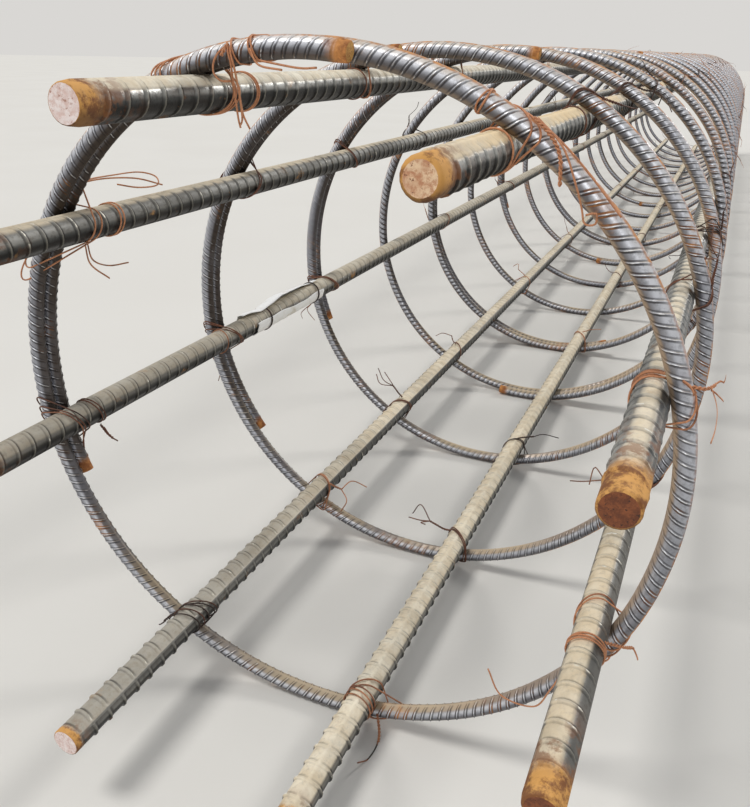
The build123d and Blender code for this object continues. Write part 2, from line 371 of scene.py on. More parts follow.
def long_bar_finish():
    """Dark mill scale with rubbed wear and a painted sheen on the upper side, beige dust on top, rust at the cut ends
    and in spots below; painted shade underneath, on the rusty ends too, in the creases beside the ribs and on the right
    side of some bars; painted glints and a light line of wear and painted highlight on the rib crests.
    """
    f = Finish("long_bar_mill_scale")
    patches = f.noise(9.0, 5.0, 0.62)
    grain = f.noise(170.0, 4.0, 0.7)
    streaks = f.noise(26.0, 4.0, 0.6, 0.4, (1.0, 0.16, 1.0))
    rust_noise = f.noise(55.0, 5.0, 0.65)
    right, _, high = f.normal_parts()
    up = f.math("ADD", high, f.math("MULTIPLY", f.math("SUBTRACT", streaks, 0.5), 0.3))
    crest, far_crease, near_crease = rib_masks(f)
    # Painted shade: on some bars the side that faces right loses its sheen and film and stays dark.
    unshaded_side = f.math("SUBTRACT", 1.0, f.math("MULTIPLY", f.step(right, 0.1, 0.6), f.attribute("right_side_shade")))

    scale = f.mix(f.step(patches, 0.36, 0.66), BAR_SCALE_DARK, BAR_SCALE_LIGHT)
    scale = f.mix(f.step(streaks, 0.52, 0.78), scale, BAR_SCALE_BROWN)
    # Painted sheen: lighter steel on the upper side, partly rubbed wear, partly a painted highlight band.
    rubbed_sheen = f.math("MULTIPLY", f.step(up, -0.05, 0.25), f.step(streaks, 0.34, 0.6, 0.3, 0.95))
    rubbed_sheen = f.math("MULTIPLY", rubbed_sheen, unshaded_side)
    scale = f.mix(rubbed_sheen, scale, BAR_RUBBED_SHEEN)
    # Painted shade: the underside darkens towards near black.
    scale = f.mix(f.step(up, 0.0, -0.35, 0.0, 0.9), scale, BAR_UNDERSIDE_SHADE)
    scale = f.mix(f.math("MULTIPLY", f.step(grain, 0.46, 0.68), 0.5), scale, srgb(26, 26, 28))

    film = f.math("MULTIPLY", f.math("MULTIPLY", f.step(up, -0.3, 0.45), f.attribute("film")), unshaded_side)
    scale = f.mix(film, scale, f.mix(f.step(grain, 0.3, 0.7), FILM_DARK, FILM_LIGHT))
    dust_up = f.math("SUBTRACT", up, f.math("MULTIPLY", right, f.attribute("dust_side")))
    dust_up = f.math("SUBTRACT", dust_up, f.attribute("dust_from"))
    dust_share = f.math("MULTIPLY", f.step(dust_up, 0.0, 0.26), f.attribute("dust"))
    dust_share = f.math("MULTIPLY", dust_share, f.step(grain, 0.3, 0.52, 0.8, 1.0))
    dust_share = f.math("MULTIPLY", dust_share, f.step(patches, 0.34, 0.5, 0.8, 1.0))
    dust = f.mix(f.step(rust_noise, 0.32, 0.7), DUST_DARK, DUST_LIGHT)
    dust = f.mix(f.math("MULTIPLY", f.attribute("warm"), f.step(patches, 0.3, 0.6, 0.5, 1.0)), dust, DUST_WARM)
    colour = f.mix(dust_share, scale, dust)
    # Rib crests get a light line, partly wear, partly a painted highlight.
    colour = f.mix(f.math("MULTIPLY", crest, 0.3), colour, BAR_CREST_WEAR_AND_SHEEN)
    # Painted shade: dark lines in the creases beside the ribs, fainter where dust lies.
    bare = f.math("SUBTRACT", 1.0, f.math("MULTIPLY", dust_share, 0.45))
    colour = f.mix(f.math("MULTIPLY", f.math("MULTIPLY", far_crease, 0.85), bare), colour, BAR_CREASE_SHADE)
    colour = f.mix(f.math("MULTIPLY", f.math("MULTIPLY", near_crease, 0.35), bare), colour, BAR_CREASE_SHADE)
    glints = f.math("MULTIPLY", crest, f.step(f.noise(95.0, 2.0, 0.5), 0.6, 0.66))
    colour = f.mix(f.math("MULTIPLY", glints, f.step(up, -0.3, 0.1, 0.0, 0.9)), colour, BAR_GLINT)

    spots = f.math("MULTIPLY", f.step(f.noise(30.0, 5.0, 0.68), 0.6, 0.68), f.step(up, 0.4, -0.2, 0.2, 0.9))
    edge = f.math("ADD", f.attribute("end_distance"), f.math("MULTIPLY", f.math("SUBTRACT", rust_noise, 0.5), 0.024))
    band = f.attribute("rust_length")
    end_rust = f.step(f.math("DIVIDE", edge, band), 0.6, 1.25, 1.0, 0.0)
    stain = f.math("MULTIPLY", f.step(f.math("DIVIDE", edge, band), 1.0, 3.4, 0.8, 0.0), f.step(rust_noise, 0.46, 0.6))
    rust = f.mix(f.step(f.noise(64.0, 6.0, 0.72), 0.4, 0.57), END_RUST_DARK, END_RUST_LIGHT)
    # Painted shade: the rusty end darkens on its underside.
    rust = f.mix(f.step(up, 0.2, -0.7, 0.0, 0.75), rust, END_RUST_UNDERSIDE_SHADE)
    colour = f.mix(stain, colour, END_RUST_DARK)
    rust_share = f.math("MAXIMUM", f.math("MULTIPLY", end_rust, 0.96), f.math("MULTIPLY", spots, 0.7))
    colour = f.mix(rust_share, colour, rust)

    dull = f.math("MAXIMUM", f.math("MAXIMUM", rust_share, stain), f.math("MAXIMUM", dust_share, film))
    roughness = f.step(dull, 0.0, 0.8, 0.38, 0.85)
    roughness = f.math("ADD", roughness, f.math("MULTIPLY", f.math("SUBTRACT", grain, 0.5), 0.3))
    metallic = f.step(dull, 0.1, 0.7, 0.65, 0.0)
    normal = f.bump(grain, 0.0006, 0.5, f.bump(patches, 0.002, 0.35))
    return f.finish(colour, roughness, metallic, normal)


def hoop_finish():
    """Blue-grey mill scale with rust along the spines and in the creases beside the ribs; rubbed wear with a painted
    sheen on the outer side that faces up, painted shade underneath and in the creases, painted glints on the crests,
    and a brown inner film painted lighter where it faces left and darker where it faces right.
    """
    f = Finish("hoop_mill_scale")
    patches = f.noise(7.0, 5.0, 0.62)
    grain = f.noise(190.0, 4.0, 0.7)
    blotches = f.noise(12.0, 5.0, 0.65)
    rust_noise = f.noise(85.0, 5.0, 0.65)
    right, _, up = f.normal_parts()
    crest, far_crease, near_crease = rib_masks(f, 0.16)
    side = f.attribute("rib_side")

    scale = f.mix(f.step(patches, 0.35, 0.66), HOOP_SCALE_DARK, HOOP_SCALE_LIGHT)
    outside = f.step(f.math("ADD", f.attribute("outer"), f.math("MULTIPLY", blotches, 0.2)), 0.16, 0.42)
    # Painted sheen: lighter steel on the outer side that faces up, partly rubbed wear, partly a painted highlight.
    hoop_sheen = f.math("MULTIPLY", f.step(up, -0.2, 0.4), f.step(blotches, 0.3, 0.55, 0.45, 0.9))
    scale = f.mix(f.math("MULTIPLY", hoop_sheen, outside), scale, HOOP_RUBBED_SHEEN)
    scale = f.mix(f.math("MULTIPLY", f.step(grain, 0.45, 0.7), 0.35), scale, srgb(58, 58, 64))
    # Painted shade: the underside darkens.
    scale = f.mix(f.step(up, 0.25, -0.45, 0.0, 0.75), scale, HOOP_UNDERSIDE_SHADE)
    # The brown inner film is painted lighter where it faces left and darker where it faces right: painted light and
    # shade.
    brown = f.math("MULTIPLY", f.step(patches, 0.4, 0.6, 0.6, 0.95), f.step(outside, 0.0, 1.0, 1.0, 0.12))
    scale = f.mix(brown, scale, f.mix(f.step(right, -0.9, 0.2), HOOP_FILM_PAINTED_LIT, HOOP_FILM_PAINTED_SHADE))
    dust_share = f.math("MULTIPLY", f.step(up, 0.3, 0.95), f.step(patches, 0.4, 0.62, 0.2, 0.9))
    dust_share = f.math("MULTIPLY", dust_share, f.attribute("dust"))
    colour = f.mix(dust_share, scale, HOOP_DUST)
    # Painted glints on the rib crests.
    glints = f.math("MULTIPLY", crest, f.step(f.noise(130.0, 2.0, 0.5), 0.52, 0.6))
    colour = f.mix(f.math("MULTIPLY", glints, 0.6), colour, HOOP_CREST_GLINT)

    rust = f.mix(f.step(rust_noise, 0.35, 0.65), HOOP_RUST_DARK, HOOP_RUST_LIGHT)
    spine = f.math("MULTIPLY", f.step(side, 0.62, 0.3), f.step(rust_noise, 0.36, 0.56, 0.1, 0.9))
    spine = f.math("MULTIPLY", spine, f.step(f.attribute("outer"), 0.6, 0.9))
    spine = f.math("MULTIPLY", spine, f.step(blotches, 0.36, 0.54, 0.3, 1.0))
    # Painted shade: dark lines in the creases beside the ribs; the same creases also hold rust further down.
    crease = f.math("MULTIPLY", f.math("MAXIMUM", far_crease, near_crease), f.step(blotches, 0.4, 0.6, 0.6, 1.0))
    colour = f.mix(f.math("MULTIPLY", crease, 0.95), colour, HOOP_CREASE_SHADE)
    crease_rust = f.math("MULTIPLY", crease, f.step(blotches, 0.52, 0.66, 0.0, 0.7))
    skin = f.math("MULTIPLY", f.step(blotches, 0.58, 0.72), f.step(rust_noise, 0.42, 0.6, 0.0, 0.6))
    edge = f.math("ADD", f.attribute("end_distance"), f.math("MULTIPLY", f.math("SUBTRACT", rust_noise, 0.5), 0.02))
    end_rust = f.step(edge, 0.008, 0.02, 1.0, 0.0)
    rust_share = f.math("MAXIMUM", f.math("MAXIMUM", spine, crease_rust), f.math("MAXIMUM", skin, end_rust))
    colour = f.mix(rust_share, colour, rust)
    dull = f.math("MAXIMUM", rust_share, dust_share)
    roughness = f.step(dull, 0.0, 0.8, 0.34, 0.85)
    metallic = f.step(dull, 0.1, 0.7, 0.6, 0.0)
    normal = f.bump(grain, 0.0005, 0.5, f.bump(blotches, 0.0015, 0.3))
    return f.finish(colour, roughness, metallic, normal)


def cut_face_finish(name, pale, dark, speckle):
    """The face of a cut end, mottled with rust."""
    f = Finish(name)
    mottle = f.noise(230.0, 5.0, 0.7)
    broad = f.noise(90.0, 4.0, 0.6)
    colour = f.mix(f.step(mottle, 0.36, 0.6), dark, pale)
    colour = f.mix(f.math("MULTIPLY", f.step(broad, 0.46, 0.68), 0.55), colour, dark)
    colour = f.mix(f.step(f.noise(420.0, 3.0, 0.6), 0.6, 0.68), colour, speckle)
    return f.finish(colour, 0.8, 0.0, f.bump(mottle, 0.001, 0.7))


def wire_finish():
    """Soft iron wire, from dark brown to fresh orange rust."""
    f = Finish("rusty_tie_wire")
    grain = f.noise(600.0, 3.0, 0.7)
    tone = f.math("ADD", f.attribute("tone"), f.math("MULTIPLY", f.math("SUBTRACT", f.noise(70.0, 4.0, 0.6), 0.5), 0.7))
    colour = f.mix(f.step(tone, 0.15, 0.55), WIRE_DARK, WIRE_BROWN)
    colour = f.mix(f.step(tone, 0.5, 0.95), colour, WIRE_ORANGE)
    colour = f.mix(f.math("MULTIPLY", f.step(grain, 0.48, 0.7), 0.4), colour, WIRE_DARK)
    return f.finish(colour, 0.62, 0.15, f.bump(grain, 0.0003, 0.5))


def paper_finish():
    """White paper, dusty and creased."""
    f = Finish("dusty_white_paper")
    creases = f.noise(60.0, 5.0, 0.6, 0.6)
    dirt = f.noise(24.0, 5.0, 0.65)
    colour = f.mix(f.step(dirt, 0.5, 0.75), srgb(250, 249, 245), srgb(214, 205, 186))
    return f.finish(colour, 0.8, 0.0, f.bump(creases, 0.0015, 0.7))


# Colours

BAR_SCALE_DARK, BAR_SCALE_LIGHT = srgb(44, 46, 47), srgb(84, 86, 86)
BAR_SCALE_BROWN, BAR_RUBBED_SHEEN, BAR_UNDERSIDE_SHADE = srgb(70, 60, 48), srgb(186, 186, 182), srgb(26, 23, 20)
BAR_CREST_WEAR_AND_SHEEN, BAR_CREASE_SHADE, BAR_GLINT = srgb(184, 180, 166), srgb(30, 27, 25), srgb(248, 244, 230)
FILM_DARK, FILM_LIGHT = srgb(84, 77, 66), srgb(134, 126, 111)
DUST_DARK, DUST_LIGHT, DUST_WARM = srgb(222, 208, 182), srgb(250, 242, 222), srgb(240, 212, 166)
END_RUST_DARK, END_RUST_LIGHT, END_RUST_UNDERSIDE_SHADE = srgb(132, 82, 42), srgb(221, 163, 88), srgb(70, 44, 30)
HOOP_SCALE_DARK, HOOP_SCALE_LIGHT, HOOP_UNDERSIDE_SHADE = srgb(134, 138, 150), srgb(196, 200, 212), srgb(74, 66, 60)
HOOP_DUST, HOOP_CREST_GLINT, HOOP_CREASE_SHADE = srgb(224, 203, 170), srgb(250, 250, 250), srgb(30, 27, 30)
HOOP_RUBBED_SHEEN, HOOP_FILM_PAINTED_SHADE, HOOP_FILM_PAINTED_LIT = srgb(236, 238, 244), srgb(60, 49, 39), srgb(202, 174, 144)
HOOP_RUST_DARK, HOOP_RUST_LIGHT = srgb(140, 84, 46), srgb(218, 150, 84)
WIRE_DARK, WIRE_BROWN, WIRE_ORANGE = srgb(48, 35, 30), srgb(114, 72, 52), srgb(202, 140, 100)

STEEL = long_bar_finish()
HOOP_STEEL = hoop_finish()
WIRE = wire_finish()
PAPER = paper_finish()
PALE_FACE = cut_face_finish("pale_cut_face", srgb(252, 238, 233), srgb(230, 200, 190), srgb(186, 142, 126))
TAN_FACE = cut_face_finish("tan_cut_face", srgb(242, 208, 170), srgb(196, 138, 102), srgb(132, 84, 60))
BROWN_FACE = cut_face_finish("brown_cut_face", srgb(142, 82, 48), srgb(104, 58, 36), srgb(66, 42, 32))
GOLD_FACE = cut_face_finish("gold_cut_face", srgb(214, 166, 92), srgb(170, 118, 60), srgb(110, 74, 44))


# Long bars: cut faces at both ends, dust on top, dusty film down the sides, painted shade that darkens the right side,
# the length of the rusty end, the wear of the edge and how the bar is rolled

NEAR_FACES = (BROWN_FACE, TAN_FACE, PALE_FACE, TAN_FACE, BROWN_FACE, PALE_FACE, TAN_FACE, BROWN_FACE)
FAR_FACES = (TAN_FACE, BROWN_FACE, TAN_FACE, PALE_FACE, PALE_FACE, BROWN_FACE, BROWN_FACE, TAN_FACE)
DUST_CHANGES_AT = (0.3, 0.75)
BAR_DUST = ((1.0, 0.8), (1.0, 0.9), (1.0, 0.9), (0.68, 0.8), (0.35, 0.6), (0.28, 0.9), (1.0, 0.95), (0.95, 0.9))
DUST_FROM = (0.74, 0.44, 0.4, 0.72, 0.32, 0.45, 0.24, 0.62)
DUST_SIDE = (0.0, 0.0, 0.0, 0.0, -0.1, 0.15, 0.1, 0.45)
DUST_WARMTH = (0.2, 0.9, 0.1, 0.4, 0.2, 0.3, 0.25, 0.5)
BAR_FILM = (0.1, 0.0, 0.1, 0.5, 0.65, 0.5, 0.8, 0.8)
RIGHT_SIDE_SHADE = (0.85, 0.0, 0.0, 0.35, 0.0, 0.3, 0.0, 0.75)
RUST_LENGTHS = (0.040, 0.020, 0.022, 0.03, 0.03, 0.007, 0.012, 0.03)
EDGE_RADII = (0.0018, 0.0030, 0.0008, 0.0015, 0.0015, 0.0010, 0.0015, 0.0020)
BAR_ROLL = (20.0, 75.0, -80.0, 100.0, -60.0, 35.0, 80.0, 10.0)
NEAR_STRETCH = 1.25


def long_bar(index):
    low, high = bar_boxes[index]
    x, z = bar_centres[index]

    def place(distance, radius, angle):
        return np.column_stack([x + radius * np.cos(angle), low.y + distance, z + radius * np.sin(angle)])

    zones = ((NEAR_STRETCH, RIB_FINE), (99.0, RIB_PLAIN))
    piece = ribbed_bar(
        f"ribbed_long_bar_{index + 1}", LONG_BAR, high.y - low.y, place, zones, 9, EDGE_RADII[index],
        radians(BAR_ROLL[index]), NEAR_STRETCH,
        [("dust", DUST_CHANGES_AT, BAR_DUST[index])] + [
            (label, [0.0], [values[index]]) for label, values in (
                ("dust_from", DUST_FROM), ("dust_side", DUST_SIDE), ("warm", DUST_WARMTH), ("film", BAR_FILM),
                ("right_side_shade", RIGHT_SIDE_SHADE), ("rust_length", RUST_LENGTHS)
            )
        ]
    )
    for material in (STEEL, NEAR_FACES[index], FAR_FACES[index]):
        piece.data.materials.append(material)
    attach(piece, "root")
    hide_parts(f"long_bar_{index + 1}")


for index in range(BAR_COUNT):
    long_bar(index)


# Hoops

def hoop(index):
    start = lap_start(index)
    length = radians(HOOP_TURN) * HOOP_RADIUS

    def place(distance, radius, angle):
        turned = degrees(1.0) * distance / HOOP_RADIUS
        round_cage = np.radians(start + turned)
        out = hoop_radius(start + turned) + radius * np.cos(angle)
        y = strand_y(index, turned) - radius * np.sin(angle)
        return np.column_stack([out * np.cos(round_cage), y, AXIS_HEIGHT + out * np.sin(round_cage)])

    if index < 3:
        zones, steps = ((99.0, RIB_FINE),), 6
    elif index < 6:
        zones, steps = ((99.0, RIB_PLAIN),), 4
    else:
        zones, steps = ((99.0, RIB_COARSE),), 2
    piece = ribbed_bar(
        f"ribbed_hoop_{index + 1:02d}", HOOP_BAR, length, place, zones, steps, 0.0008, 0.0,
        extra=(("dust", [0.0], [0.75 if index < 2 else 0.95]),)
    )
    for material in (HOOP_STEEL, GOLD_FACE, GOLD_FACE):
        piece.data.materials.append(material)
    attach(piece, "root")
    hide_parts(f"hoop_{index + 1:02d}")


for index in range(HOOP_COUNT):
    hoop(index)


# Wire ties. Places at a crossing are millimetres (along the long bar, round the hoop, out of the cage) from the
# middle of the hoop's strands there.

BAR_DEPTH = 22.3
BAR_WRAP = 15.7
STRAND_WRAP = 9.2
PAIR_PITCH = 7.0
PAIR_OFFSET = 0.85
WIRE_THICKNESS = 0.8
WIRE_REACH = 0.017

# The wire at each bar of the first hoop. Each loop is drawn round the whole crossing, the bar alone or a strand
# alone, and has two places where it passes: for a crossing or a bar its places along the bar at the two sides of
# the bar, for a strand its places round the hoop at the two sides of the strand.
FIRST_HOOP_TIES = {
    1: dict(
        tone=0.85,
        loops=(("both", 16, -6), ("bar", 26, 22), ("both", 12, -10)),
        pairs=(((-14, 14, 9), (-12, 11, 16), (-8, 10, 22), (-2, 10, 28)),),
        wires=(((22, -8, -37), (27, 6, -37), (27, 14, -28), (15, 17, -15), (3, 17, -5), (-8, 15, 4), (-14, 10, 10)),
               ((19, -8, -37), (24, 7, -37), (24, 15, -27), (12, 17, -13), (1, 17, -3), (-10, 15, 6), (-14, 9, 11)),
               ((16, -6, -38), (21, 8, -36), (20, 16, -25), (9, 17, -10), (-3, 17, 0), (-14, 14, 8), (-16, 8, 10)),
               ((-6, 9, 20), (6, 9, 34), (2, 10, 48), (8, 14, 68)), ((-8, 8, 22), (-24, 9, 36), (-30, 8, 50)),
               ((-6, 10, 22), (-40, 6, 32), (-62, 2, 30), (-80, 0, 25))),
    ),
    2: dict(
        tone=0.95,
        loops=(("both", 10, -10), ("both", 15, -5), ("bar", -10, -18), ("strand", 24, 29), ("strand", 29, 25)),
        pairs=(((-8, -10, 11), (-12, -26, 9), (-13, -40, 2), (-12, -52, -14)),),
        wires=(((-6, -12, 12), (-14, -38, 8), (-15, -60, -6), (-12, -73, -17), (-12, -81, -24), (-12, -87, -20),
                (-12, -83, -14), (-12, -78, -19)),
               ((-6, -16, 11), (-9, -42, 8), (-9, -68, 2), (-8, -98, -7))),
    ),
    3: dict(
        tone=1.0,
        loops=(("both", -6, 20), ("both", -2, 25), ("both", -10, 16), ("bar", 44, 52), ("bar", 48, 55),
               ("strand", -40, -46), ("strand", -58, -63), ("strand", -65, -60)),
        pairs=(((-20, -37, -4), (-20, -41, -1), (-17, -44, 3)),),
        wires=(((-17, -44, 2), (-20, -36, -1), (-20, -29, -6), (-20, -26, -13), (-20, -30, -20), (-14, -35, -22)),
               ((-17, -44, 2), (-19, -43, -3), (-17, -41, -12), (-6, -31, -24), (4, -20, -46), (6, -18, -54)),
               ((-16, -42, 2), (-18, -42, -4), (-14, -41, -14), (-2, -31, -32), (6, -24, -45), (8, -25, -57)),
               ((-16, -46, 2), (-19, -45, -4), (-17, -43, -16), (-4, -32, -34), (6, -22, -48), (4, -20, -52)),
               ((-17, -61, -6), (-20, -66, -19), (-20, -84, -28)), ((-17, -66, -16), (-18, -96, -30), (-16, -110, -34))),
    ),
    4: dict(
        tone=0.8,
        loops=(("both", 0, 12), ("both", 8, 21), ("bar", 40, 47), ("bar", 45, 52)),
        pairs=(((10, -12, 11), (20, -17, 13), (30, -18, 14)),),
        wires=(((28, -18, 14), (50, -20, 15), (84, -18, 17), (123, -16, 17), (141, -16, 6), (128, -17, -8),
                (100, -17, -6), (78, -17, 4)), ((28, -18, 14), (60, -24, 8), (96, -26, -2), (120, -26, -18)),
               ((2, 6, -38), (18, 30, -40), (48, 46, -40), (84, 54, -38)), ((0, 8, -38), (8, 28, -46), (28, 42, -58))),
    ),
    5: dict(
        tone=0.45,
        loops=(("both", 4, -14), ("both", 10, -8), ("both", 0, -18), ("bar", 34, 21), ("bar", 29, 17)),
        pairs=(((20, 14, -36), (24, 26, -38), (28, 34, -40)),),
        wires=(((22, 18, -38), (20, 28, -46), (26, 36, -48)),),
    ),
    6: dict(
        tone=0.25,
        loops=(("both", 16, -10), ("both", 11, -14), ("bar", -8, -21), ("bar", 0, -13), ("bar", -17, -30)),
        pairs=(((-14, -15, -20), (-14, -20, -4), (-14, -23, 10)),),
        wires=(((-14, -22, 8), (-12, -27, 30)),),
    ),
    7: dict(
        tone=0.7,
        loops=(("both", 8, -12), ("both", -2, -18), ("bar", -20, -13), ("bar", -26, -21), ("bar", -14, -9)),
        pairs=(((-14, 16, -8), (-20, 18, 8), (-25, 17, 20)),),
        wires=(((-24, 17, 18), (-40, 17, 24), (-64, 14, 8)),),
    ),
    8: dict(
        tone=0.85,
        loops=(("bar", -39, -42), ("bar", -43, -38), ("bar", -46, -44), ("both", 10, -12), ("both", 16, -6),
               ("strand", -22, -27)),
        pairs=(((-38, 15, -14), (-26, 12, 2), (-14, 8, 12)),),
        wires=(((-14, 8, 12), (-16, 2, 24)), ((-10, -60, -15), (-12, -85, -13), (-12, -112, -14), (-13, -123, -42),
                                             (-10, -108, -66))),
    ),
}


def strands_at(index, angle):
    """Places along the cage at which a hoop passes an angle: one, or two where it laps."""
    first_pass = (angle - lap_start(index)) % 360.0
    return [strand_y(index, turned) for turned in (first_pass, first_pass + 360.0) if turned < HOOP_TURN]


def smooth_path(corners, step):
    """Evenly spaced points on a curve through the corners (Catmull-Rom)."""
    corners = np.array(corners, float)
    ends = np.vstack([2 * corners[0] - corners[1], corners, 2 * corners[-1] - corners[-2]])
    t = np.linspace(0, 1, 13)[:-1, None]
    pieces = []
    for a, b, c, d in zip(ends, ends[1:], ends[2:], ends[3:]):
        pieces.append(b + 0.5 * t * (c - a + t * (2 * a - 5 * b + 4 * c - d + t * (3 * (b - c) + d - a))))
    return even_points(np.vstack(pieces + [corners[-1:]]), step)


def even_points(path, step):
    lengths = np.concatenate([[0.0], np.cumsum(np.linalg.norm(np.diff(path, axis=0), axis=1))])
    count = max(3, int(round(lengths[-1] / step)) + 1)
    places = np.linspace(0, lengths[-1], count)
    return np.column_stack([np.interp(places, lengths, path[:, axis]) for axis in range(3)])


def loop_path(kind, first, second, half_spread, step):
    """A closed loop of wire drawn tight in a slanted plane across a crossing, with the plane's direction."""
    if kind == "strand":
        reach = half_spread + STRAND_WRAP
        slant = atan2(first - second, 2 * reach)
        shift = -(first + second) / 2 * cos(slant)
    else:
        slant = atan2(2 * BAR_WRAP, first - second)
        shift = (first + second) / 2 * sin(slant)
    ovals = []
    if kind != "strand":
        ovals.append((shift / tan(slant), -BAR_DEPTH, BAR_WRAP / abs(sin(slant)), BAR_WRAP))
    if kind != "bar":
        for y in (-half_spread, half_spread):
            ovals.append(((y - shift * sin(slant)) / cos(slant), 0.0, STRAND_WRAP / abs(cos(slant)), STRAND_WRAP))
    points = []
    for turn in np.linspace(0, 2 * pi, 97):
        c, s = cos(turn), sin(turn)
        reaches = [(x * c + y * s + hypot(a * c, b * s), x, y, a, b) for x, y, a, b in ovals]
        _, x, y, a, b = max(reaches)
        size = hypot(a * c, b * s)
        points.append((x + a * a * c / size, y + b * b * s / size))
    points = np.array(points)
    across = np.array([cos(slant), sin(slant), 0.0])
    square = np.array([sin(slant), -cos(slant), 0.0])
    path = points[:, :1] * across + points[:, 1:] * np.array([0.0, 0.0, 1.0]) + shift * square
    path = even_points(path, step)[:-1]
    if kind == "strand":
        path[:, 2] -= (first + second) ** 2 / 8 / (HOOP_RADIUS * 1000)
    return path, square


def wire_frames(path, closed, square=None):
    """Two directions square to a path at each of its points."""
    if closed:
        ahead = np.roll(path, -1, axis=0) - np.roll(path, 1, axis=0)
    else:
        ahead = np.gradient(path, axis=0)
    ahead = ahead / np.linalg.norm(ahead, axis=1)[:, None]
    if square is not None:
        side = np.broadcast_to(square, path.shape)
        side = side - np.sum(side * ahead, axis=1)[:, None] * ahead
        side = side / np.linalg.norm(side, axis=1)[:, None]
    else:
        start = np.cross(ahead[0], (0.37, 0.53, 0.76))
        side = [start / np.linalg.norm(start)]
        for direction in ahead[1:]:
            turned = side[-1] - np.dot(side[-1], direction) * direction
            side.append(turned / np.linalg.norm(turned))
        side = np.array(side)
    return side, np.cross(side, ahead)


class WireBundle:
    """Gathers the wires of one hoop's ties into one mesh."""

    def __init__(self):
        self.points, self.tones, self.quads, self.caps, self.total = [], [], [], [], 0

    def add(self, path, frames, closed, sides, tone, turn_to_world, radius=WIRE_THICKNESS):
        turns = np.arange(sides) * 2 * pi / sides
        side, up = frames
        rings = path[:, None] + radius * (
            np.cos(turns)[None, :, None] * side[:, None] + np.sin(turns)[None, :, None] * up[:, None]
        )
        rows = len(path)
        row, column = np.meshgrid(np.arange(rows if closed else rows - 1), np.arange(sides), indexing="ij")
        ahead, beside = (row + 1) % rows, (column + 1) % sides
        quad = np.stack([row * sides + column, ahead * sides + column, ahead * sides + beside, row * sides + beside], -1)
        self.quads.append(quad.reshape(-1, 4) + self.total)
        if not closed:
            ring = np.arange(sides)
            middles = np.array([path[0], path[-1]])
            near = np.column_stack([np.full(sides, rows * sides), ring, (ring + 1) % sides])
            last = (rows - 1) * sides
            far = np.column_stack([np.full(sides, rows * sides + 1), last + (ring + 1) % sides, last + ring])
            self.caps += [near + self.total, far + self.total]
            points = np.vstack([rings.reshape(-1, 3), middles])
        else:
            points = rings.reshape(-1, 3)
        self.points.append(turn_to_world(points))
        self.tones.append(np.full(len(points), tone))
        self.total += len(points)

    def piece(self, name):
        faces = [np.vstack(self.quads)] + ([np.vstack(self.caps)] if self.caps else [])
        return mesh_piece(name, np.vstack(self.points), faces, [("tone", np.concatenate(self.tones))])


def usual_tie(near, two_strands, low):
    """A tie as most are: two or three slanted loops, a twisted stub and loose tails, inside the cage if it is low."""
    way = rng.choice((-1, 1))
    lean = rng.uniform(7, 17) + (5 if two_strands else 0)
    loops = []
    for _ in range(rng.integers(2, 5) if near else 2):
        loops.append(("both", way * lean + rng.uniform(-5, 5), -way * lean + rng.uniform(-5, 5)))
    if near and rng.random() < 0.4:
        place = rng.choice((-1, 1)) * rng.uniform(22, 34)
        loops.append(("bar", place, place + rng.uniform(-8, 8)))
    side = rng.choice((-1, 1))
    y = rng.uniform(-6, 6)
    knot = (y + rng.uniform(-6, 6), side * rng.uniform(24, 36), rng.uniform(12, 22))
    pairs = [((y, side * 8, 9.6), (y, side * 17, 11.5), knot)]
    wires = []
    for _ in range(rng.integers(1, 4) if near else 1):
        middle = (knot[0] + rng.uniform(-25, 25), knot[1] + side * rng.uniform(4, 22), knot[2] + rng.uniform(-4, 20))
        end = (middle[0] + rng.uniform(-25, 25), middle[1] + side * rng.uniform(0, 26), middle[2] + rng.uniform(-18, 16))
        wires.append((knot, middle, end))
    if low:
        pairs = [[(along, around, -28.8 - out) for along, around, out in corners] for corners in pairs]
        wires = [[(along, around, -28.8 - out) for along, around, out in corners] for corners in wires]
    return dict(tone=rng.uniform(0.2, 1.0), loops=loops, pairs=pairs, wires=wires)


def tied_bars(index):
    """Every bar at the near hoops and at the last one, and every other bar by turns at the hoops between."""
    if index < 3 or index == HOOP_COUNT - 1:
        return range(BAR_COUNT)
    return range(index % 2, BAR_COUNT, 2)


def inside_reach(points):
    """Bends loose wire back that would stick out of the cage by more than WIRE_REACH or go through the floor."""
    out = np.hypot(points[:, 0], points[:, 2] - AXIS_HEIGHT)
    soft_edge = HOOP_RADIUS + 0.014
    past = np.maximum(out - soft_edge, 0.0)
    bent = np.where(past > 0, soft_edge + WIRE_REACH * (1 - np.exp(-past / WIRE_REACH)), out)
    share = bent / np.maximum(out, 1e-6)
    points = np.column_stack([points[:, 0] * share, points[:, 1], AXIS_HEIGHT + (points[:, 2] - AXIS_HEIGHT) * share])
    points[:, 2] = np.maximum(points[:, 2], 0.0)
    return points


